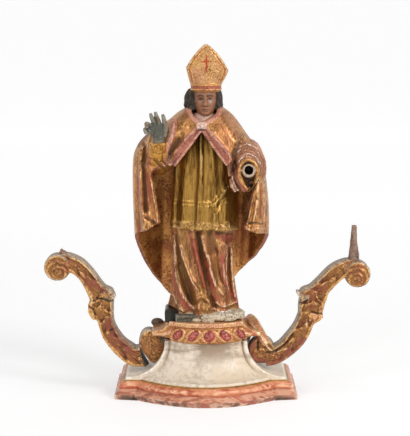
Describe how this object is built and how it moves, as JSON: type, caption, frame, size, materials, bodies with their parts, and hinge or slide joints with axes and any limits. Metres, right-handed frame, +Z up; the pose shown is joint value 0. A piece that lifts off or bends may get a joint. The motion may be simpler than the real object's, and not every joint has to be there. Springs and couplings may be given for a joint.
{
  "type": "bishop statuette",
  "caption": "Carved, gilded and painted wooden bishop in mitre and cope, standing on a moulded pedestal with two scrolled candle arms.",
  "frame": {"origin": "middle of the pedestal's flat underside", "axes": "+Z up, -Y out of the figure's front, +X towards the arm that keeps its candle spike"},
  "size_m": [0.4548, 0.177, 0.4885],
  "materials": {
    "gilt_wood": "worn water gilding and red bole over carved wood, with painted flesh",
    "grey_priming": "matt grey priming",
    "painted_gesso": "worn ivory paint on gesso, with red and gilt mouldings",
    "worn_gilding": "worn gilding with red bole and bare gesso on the edges",
    "rusty_iron": "rusted wrought iron"
  },
  "bodies": {
    "root": {"bishop_figure": "gilt_wood", "right_hand": "grey_priming", "pedestal": "painted_gesso", "left_volute": "worn_gilding", "left_arm": "worn_gilding", "right_arm": "worn_gilding", "left_nail_stump": "rusty_iron", "right_pricket": "rusty_iron"}
  },
  "joints": []
}
